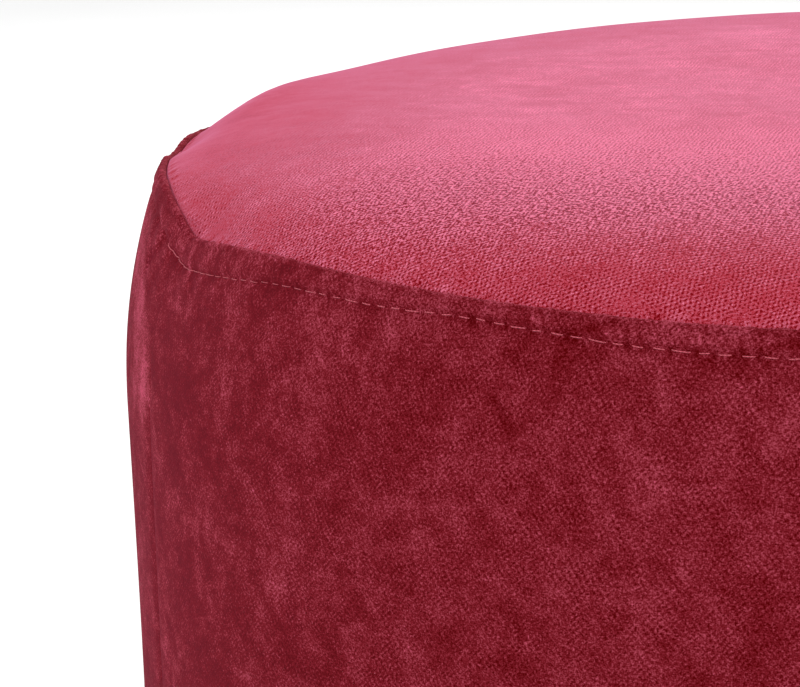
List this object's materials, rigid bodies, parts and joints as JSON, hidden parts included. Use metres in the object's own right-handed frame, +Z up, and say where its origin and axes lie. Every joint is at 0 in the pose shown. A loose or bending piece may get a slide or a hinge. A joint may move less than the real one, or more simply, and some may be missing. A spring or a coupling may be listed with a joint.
{
  "type": "upholstered stool",
  "caption": "Round drum stool: velvet cover with a topstitched rim over foam and a wooden frame, on turned wooden legs.",
  "frame": {"origin": "on the floor, under the middle of the seat", "axes": "+Z up along the drum's axis, -Y towards the front, +X to the right seen from the front"},
  "size_m": [0.424, 0.4238, 0.422],
  "materials": {
    "velvet_top": "woven velvet, raspberry, pile brushed flat",
    "velvet_band": "woven velvet, raspberry, mottled pile",
    "topstitch_thread": "twisted polyester thread, light pink",
    "seat_foam": "open-cell foam, cream",
    "side_foam": "open-cell foam, grey",
    "wadding": "polyester wadding, white",
    "plywood": "birch plywood, raw",
    "hardboard": "hardboard, raw",
    "pine": "planed pine, raw",
    "beech": "turned beech, satin lacquer",
    "steel": "zinc-plated steel",
    "felt": "pressed felt, brown",
    "dust_cloth": "non-woven cloth, black"
  },
  "bodies": {
    "root": {"cover_top": "velvet_top", "cover_band": "velvet_band", "topstitch": "topstitch_thread", "seat_wadding": "wadding", "seat_foam": "seat_foam", "side_foam": "side_foam", "seat_board": "plywood", "seat_board_screws": "steel", "wall_board": "hardboard", "wall_staples": "steel", "post_right": "pine", "post_back": "pine", "post_left": "pine", "post_front": "pine", "base_board": "plywood", "base_board_screws": "steel", "tee_nuts": "steel", "hanger_bolts": "steel", "leg_back_right": "beech", "leg_back_left": "beech", "leg_front_left": "beech", "leg_front_right": "beech", "felt_pads": "felt", "hem_staples": "steel", "dust_cover": "dust_cloth", "dust_cover_staples": "steel"}
  },
  "joints": []
}
